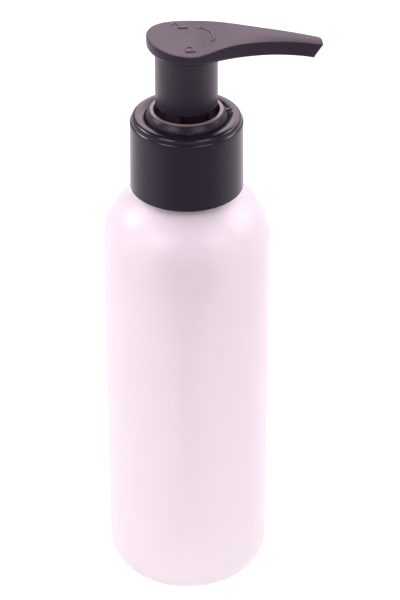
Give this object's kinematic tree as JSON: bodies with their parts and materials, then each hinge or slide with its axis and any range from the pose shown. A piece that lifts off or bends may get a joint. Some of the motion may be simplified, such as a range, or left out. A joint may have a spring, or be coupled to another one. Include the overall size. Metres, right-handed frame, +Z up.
{
  "type": "lotion pump bottle",
  "caption": "Round translucent plastic bottle with a screw-on lotion pump whose head presses down and turns to lock.",
  "frame": {"origin": "middle of the bottle's flat base, on the bottle's axis, in the plane it stands on", "axes": "+Z up along the bottle's axis; +X the way the spout points at rest; +Y to the left when looking along the spout from the head to its tip"},
  "size_m": [0.0537, 0.0414, 0.1549],
  "materials": {
    "bottle_plastic": "milky translucent polyethylene with a soft satin surface",
    "black_plastic": "black moulded polypropylene, smooth satin, finely textured on the head's top",
    "natural_plastic": "uncoloured moulded polypropylene, slightly translucent",
    "piston_plastic": "white moulded polyethylene",
    "tube_plastic": "uncoloured extruded polyethylene tube",
    "gasket_foam": "white foamed polyethylene",
    "steel": "bright drawn stainless steel"
  },
  "bodies": {
    "bottle": {"bottle": "bottle_plastic"},
    "pump_body": {"pump_housing": "natural_plastic", "lock_collar": "black_plastic", "stem_guide": "black_plastic", "neck_gasket": "gasket_foam", "spring_seat": "natural_plastic", "dip_tube": "tube_plastic", "spring": "steel"},
    "closure": {"closure": "black_plastic"},
    "plunger": {"piston_rod": "natural_plastic"},
    "head": {"actuator": "black_plastic", "stem": "natural_plastic"},
    "piston": {"piston": "piston_plastic"},
    "inlet_ball": {"inlet_ball": "steel"}
  },
  "joints": [
    {"name": "pump_lift", "type": "slide", "parent": "bottle", "child": "pump_body", "axis": [0, 0, 1], "range_m": [0, 0.00477]},
    {"name": "closure_turn", "type": "hinge", "parent": "pump_body", "child": "closure", "pos_m": [0, 0, 0.12385], "axis": [0, 0, 1], "range_deg": [0, 540]},
    {"name": "head_press", "type": "slide", "parent": "pump_body", "child": "plunger", "axis": [0, 0, -1], "range_m": [0, 0.012], "stiffness_N_per_m": 450, "springref_m": -0.016, "deforming": ["spring"]},
    {"name": "head_turn", "type": "hinge", "parent": "plunger", "child": "head", "pos_m": [0, 0, 0.14], "axis": [0, 0, 1], "range_deg": [-90, 0]},
    {"name": "piston_valve", "type": "slide", "parent": "plunger", "child": "piston", "axis": [0, 0, 1], "range_m": [0, 0.0011]},
    {"name": "ball_lift", "type": "slide", "parent": "pump_body", "child": "inlet_ball", "axis": [0, 0, 1], "range_m": [0, 0.0018]}
  ],
  "couplings": [
    {"joint": "pump_lift", "follows": "closure_turn", "m_per_rad": 0.00050532}
  ]
}
